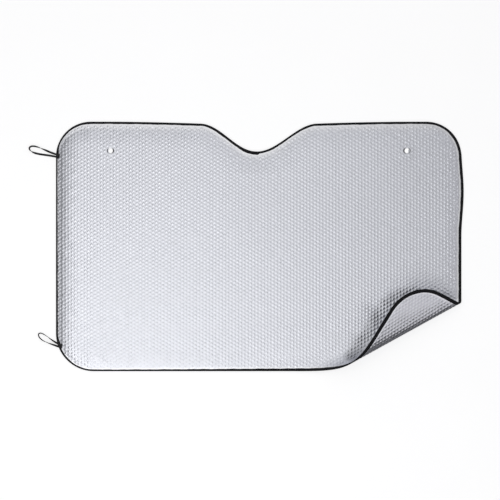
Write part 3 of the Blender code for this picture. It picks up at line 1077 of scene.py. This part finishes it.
def bubbles(name, film_height, relief, upside_down, weld):
    made = bubble_pattern(film_height, relief, upside_down).run_on(bubble_region(weld), name)
    mark_film(made.data)
    lay_on_floor(made.data)
    print(name, len(made.data.polygons), "faces,", len(made.data.loop_triangles), "triangles")
    return made


front_bubbles = bubbles("front_bubbles", FILM_FRONT, FRONT_RELIEF, False, front_weld)
back_bubbles = bubbles("back_bubbles", FILM_BACK, BACK_RELIEF, True, BACK_WELD)

# %% [markdown]
# The binding is one tape, folded over the cut edge and sewn through. Its section is swept round the outline:
# down the back, round the fold and up the front, and back along the inside, with the seam pressed into it.

# %% Binding tape
FOLD_RADIUS = 0.0011
FOLD_STEPS = 6
FACE_STEPS = 12
SEWN_PRESS = 0.00025
SEWN_FROM_TAPE_EDGE = 0.0016
SEWN_HALF_WIDTH = 0.0010


def tape_profile(front, back):
    """The folded tape as (depth from the sheet's edge, height from its middle), a closed loop."""
    def pressed(depth, width):
        off_seam = abs(depth - (width - SEWN_FROM_TAPE_EDGE)) / SEWN_HALF_WIDTH
        return TAPE_OUTSIDE - SEWN_PRESS * (1 - smooth_step(off_seam))

    def face(width):
        depths = [FOLD_RADIUS + (width - FOLD_RADIUS) * step / FACE_STEPS for step in range(1, FACE_STEPS)]
        return [(depth, pressed(depth, width)) for depth in depths]

    selvedge = TAPE_THICKNESS / 3
    front_face = [(front, TAPE_OUTSIDE - selvedge), (front - selvedge / 2, TAPE_OUTSIDE - selvedge / 4)]
    front_face += reversed(face(front)[:-1])
    fold = []
    for step in range(FOLD_STEPS + 1):
        angle = math.pi / 2 * step / FOLD_STEPS
        height = TAPE_OUTSIDE - FOLD_RADIUS + FOLD_RADIUS * math.cos(angle)
        fold.append((FOLD_RADIUS * (1 - math.sin(angle)), height))
    back_face = [(depth, -height) for depth, height in [*reversed(fold), *face(back)[:-1]]]
    back_face.append((back - selvedge / 2, selvedge / 4 - TAPE_OUTSIDE))
    back_face.append((back, selvedge - TAPE_OUTSIDE))
    inside = [(back, -TAPE_INSIDE), (TAPE_THICKNESS, -TAPE_INSIDE)]
    inside += [(TAPE_THICKNESS, TAPE_INSIDE), (front, TAPE_INSIDE)]
    return front_face + fold + back_face + inside


def profile_lengths(profile):
    lengths = [0.0]
    for before, after in zip(profile, [*profile[1:], profile[0]]):
        lengths.append(lengths[-1] + math.dist(before, after))
    return lengths


def sweep(name, rings, lengths, at, order, cap=()):
    """A skin over rings of vertices, with its UV map in metres. The order says how each face goes round."""
    count, verts, faces, corners = len(rings[0]), [vert for ring in rings for vert in ring], [], []
    for here in range(len(at) - 1):
        for step in range(count):
            faces.append([(here + on) % len(rings) * count + (step + over) % count for on, over in order])
            corners += [(lengths[here][step + over], at[here + on]) for on, over in order]
    if cap:
        last = len(verts) - count
        faces += [range(count), range(last + count - 1, last - 1, -1)]
        corners += [*cap, *reversed(cap)]
    mesh = new_mesh(name, verts, [], faces)
    mesh.uv_layers.new(name="UVMap").data.foreach_set("uv", np.array(corners, np.float32).ravel())
    return mesh


def binding_tape():
    rings, lengths = [], []
    for point, inward, at in stations:
        back_width = TAPE_BACK_WIDTH + WANDER * math.sin(at * BACK_WANDER_WAVE)
        profile = tape_profile(front_width(point, inward, at), back_width)
        lengths.append(profile_lengths(profile))
        rings.append([(*(point + inward * depth), height) for depth, height in profile])
    travel = [*[at for point, inward, at in stations], perimeter]
    mesh = sweep("binding", rings, lengths, travel, ((0, 0), (0, 1), (1, 1), (1, 0)))
    lay_on_floor(mesh)
    return finished(mesh, tape_finish, 50)


binding = binding_tape()
print("binding", len(binding.data.polygons), "faces")

# %% [markdown]
# A lockstitch holds the tape: a row of short threads on the front and the same on the back, each dipping into
# the cloth at its ends. The guide is the line of the seam. The tree turns it into a curve, sets a point every
# stitch length and lays a slim grain of thread on each point, along the curve.

# %% Seam
STITCH_LENGTH = 0.0032
STITCH_GAP = 0.0005
THREAD_RADIUS = 0.00022


def seam_line():
    """The seam on the front and on the back, as two closed rings of edges."""
    verts, edges = [], []
    for side in (1, -1):
        first = len(verts)
        for point, inward, at in stations:
            spot = point + inward * (front_width(point, inward, at) - SEWN_FROM_TAPE_EDGE)
            verts.append((spot.x, spot.y, side * (TAPE_OUTSIDE - SEWN_PRESS)))
        edges += [(first + here, first + (here + 1) % len(outline)) for here in range(len(outline))]
    return new_mesh("seam line", verts, edges, [])


def stitch_pattern(length, gap):
    tree = Pattern("stitches", stitch_length=length, stitch_gap=gap, thread_radius=THREAD_RADIUS,
                   material=thread_finish)
    given = tree.given
    line = tree.node("GeometryNodeMeshToCurve", None, {"Mesh": given("guide")})
    points = tree.node("GeometryNodeResampleCurve", {"mode": "LENGTH"},
                       {"Curve": line, "Length": given("stitch_length")})
    turn = tree.node("FunctionNodeAlignRotationToVector", {"axis": "Z"},
                     {"Vector": tree.node("GeometryNodeInputTangent")})
    size = tree.join(given("thread_radius"), given("thread_radius"),
                     (given("stitch_length") - given("stitch_gap")) * 0.5)
    thread = tree.node("GeometryNodeTransform", None, {"Geometry": tree.ball(6, 5), "Scale": size})
    tree.end(tree.copies(points, thread, turn))
    return tree


seam = stitch_pattern(STITCH_LENGTH, STITCH_GAP).run_on(seam_line(), "seam")
lay_on_floor(seam.data)
print("seam", len(seam.data.polygons), "faces")

# %% [markdown]
# The loops are one flat elastic each, with both ends sewn side by side on the binding. A strap is best drawn
# directly: a rounded section swept along a path, which leaves the sheet straight, opens into a drop and stands
# on edge where it turns back.

# %% Elastic loops
RIBBON_WIDTH = 0.0065
RIBBON_THICKNESS = 0.0015
RIBBON_END_GAP = 0.0006
LOOP_TUCK = TAPE_FRONT_WIDTH + 0.0040
LOOP_DROP_RUN = 0.035
SPREAD_POWER = 3.5
LOOP_STEPS = 132
RIBBON_RIBS = 6
RIB_RELIEF = 0.00010
LOOP_SHAPES = {
    "upper_elastic": dict(root_height=ROOT_HEIGHTS[0], heading=165.3, reach=0.1000, spread=0.016, lean=0.002,
                          twist=140.0, twist_centre=160.0, twist_half=65.0),
    "lower_elastic": dict(root_height=ROOT_HEIGHTS[1], heading=160.0, reach=0.0846, spread=0.014, lean=0.0118,
                          twist=115.0, twist_centre=180.0, twist_half=106.0),
}


def outside_sheet(point):
    """Distance from the sheet's rounded rectangle, below zero inside it."""
    radius = UPPER_CORNER_RADIUS if point.y > 0 else LOWER_CORNER_RADIUS
    across = abs(point.x) - (SHEET_WIDTH / 2 - radius)
    up = abs(point.y) - (SHEET_HEIGHT / 2 - radius)
    return Vector((max(across, 0.0), max(up, 0.0))).length + min(max(across, up), 0.0) - radius


def loop_root(height):
    """Where a loop is sewn down, behind the left edge."""
    radius = UPPER_CORNER_RADIUS if height > 0 else LOWER_CORNER_RADIUS
    sine = min(max((abs(height) - SHEET_HEIGHT / 2 + radius) / radius, 0.0), 1.0)
    cosine = math.sqrt(1 - sine * sine)
    outward = Vector((-cosine, math.copysign(sine, height)))
    return Vector((radius * (1 - cosine) - SHEET_WIDTH / 2, height)) - outward * LOOP_TUCK


def loop_axes(heading):
    """The direction in which a loop leaves the sheet, and the one across it."""
    ahead = unit(math.radians(heading))
    return ahead, Vector((ahead.y, -ahead.x))


def loop_path(root_height, heading, reach, spread, lean, twist, twist_centre, twist_half):
    """The ribbon's middle line with its roll."""
    root, (ahead, aside) = loop_root(root_height), loop_axes(heading)
    beside = (RIBBON_WIDTH + RIBBON_END_GAP) / 2
    on_tape = MID_HEIGHT + TAPE_OUTSIDE + GAP
    for step in range(LOOP_STEPS + 1):
        turn = 360 * step / LOOP_STEPS
        swing = math.sin(math.radians(turn / 2))
        share = swing * swing
        side = math.copysign(1, 180 - turn) * beside * (1 - share ** 3) if step * 2 != LOOP_STEPS else 0.0
        drop = spread * math.sin(math.radians(turn)) * swing ** SPREAD_POWER
        spot = root + ahead * reach * share + aside * (side + drop + lean * share * share)
        roll = math.radians(twist * math.exp(-(((turn - twist_centre) / twist_half) ** 4)))
        resting = (RIBBON_WIDTH * abs(math.sin(roll)) + RIBBON_THICKNESS * abs(math.cos(roll))) / 2
        lowered = smooth_step((outside_sheet(spot) - RIBBON_WIDTH) / LOOP_DROP_RUN)
        yield Vector((*spot, resting + on_tape * (1 - lowered))), roll


def ribbon_section():
    """The elastic's section as (across, through), with a low rib for each rubber thread inside."""
    half = RIBBON_WIDTH / 2
    thick = RIBBON_THICKNESS / 2 - RIB_RELIEF
    steps = RIBBON_RIBS * 4
    face = []
    for step in range(steps + 1):
        across = -half + RIBBON_WIDTH * step / steps
        rib = math.sin(math.pi * RIBBON_RIBS * step / steps) ** 2
        edge = math.sqrt(max(0.0, 1 - (2 * abs(step / steps - 0.5)) ** 8))
        face.append((across, thick * max(edge, 0.3) + RIB_RELIEF * rib))
    return face + [(across, -through) for across, through in reversed(face)]


def elastic_loop(name, shape):
    path = list(loop_path(**shape))
    section = ribbon_section()
    rings, at = [], [0.0]
    for here, (centre, roll) in enumerate(path):
        before, after = path[max(here - 1, 0)][0], path[min(here + 1, len(path) - 1)][0]
        travel = (after - before).normalized()
        level = Vector((-travel.y, travel.x, 0)).normalized()
        width_way = Matrix.Rotation(roll, 3, travel) @ level
        thick_way = travel.cross(width_way)
        rings.append([tuple(centre + width_way * across + thick_way * through) for across, through in section])
        at.append(at[-1] + (after - before).length / 2)
    lengths = [profile_lengths(section)] * len(path)
    mesh = sweep(name, rings, lengths, at[:-1], ((0, 0), (1, 0), (1, 1), (0, 1)), section)
    print(name, len(mesh.polygons), "faces, ribbon", round(at[-1], 4), "m long")
    return finished(mesh, elastic_finish, 60)


upper_elastic, lower_elastic = [elastic_loop(name, shape) for name, shape in LOOP_SHAPES.items()]

# %% [markdown]
# A bar tack holds both ends of each loop: a tight zigzag of thread across them. It is the same stitch tree on
# another guide, with stitches so short that they overlap into one thread.

# %% Bar tacks
TACK_TURNS = 22
TACK_LENGTH = 0.0030
TACK_MARGIN = 0.0006
TACK_STITCH = 0.0008
TACK_OVERLAP = 0.0004


def tack_line():
    """Zigzags on top of the elastic, where both loops cross the tape."""
    verts, edges = [], []
    across = 2 * RIBBON_WIDTH + RIBBON_END_GAP - 2 * TACK_MARGIN
    height = MID_HEIGHT + TAPE_OUTSIDE + GAP + RIBBON_THICKNESS + THREAD_RADIUS / 2
    for shape in LOOP_SHAPES.values():
        root, (ahead, aside) = loop_root(shape["root_height"]), loop_axes(shape["heading"])
        for step in range(TACK_TURNS + 1):
            forward = LOOP_TUCK / 2 + TACK_LENGTH * (step % 2 - 0.5)
            spot = root + ahead * forward + aside * across * (step / TACK_TURNS - 0.5)
            if step:
                edges.append((len(verts) - 1, len(verts)))
            verts.append((spot.x, spot.y, height))
    return new_mesh("tack line", verts, edges, [])


bar_tacks = stitch_pattern(TACK_STITCH, -TACK_OVERLAP).run_on(tack_line(), "bar_tacks")
print("bar tacks", len(bar_tacks.data.polygons), "faces")

# %% [markdown]
# The finished pieces ride on the model's one body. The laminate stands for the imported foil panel, and the
# bubbles go with it.

dressing = {"bubble_foil": (foil_laminate, front_bubbles, back_bubbles), "binding_tape": (binding, seam),
            "elastic": (upper_elastic, lower_elastic, bar_tacks)}
for slot, pieces in dressing.items():
    for piece in pieces:
        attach(piece, "root")
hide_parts("foil_panel")
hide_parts("edge_binding")
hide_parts("upper_loop")
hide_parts("lower_loop")
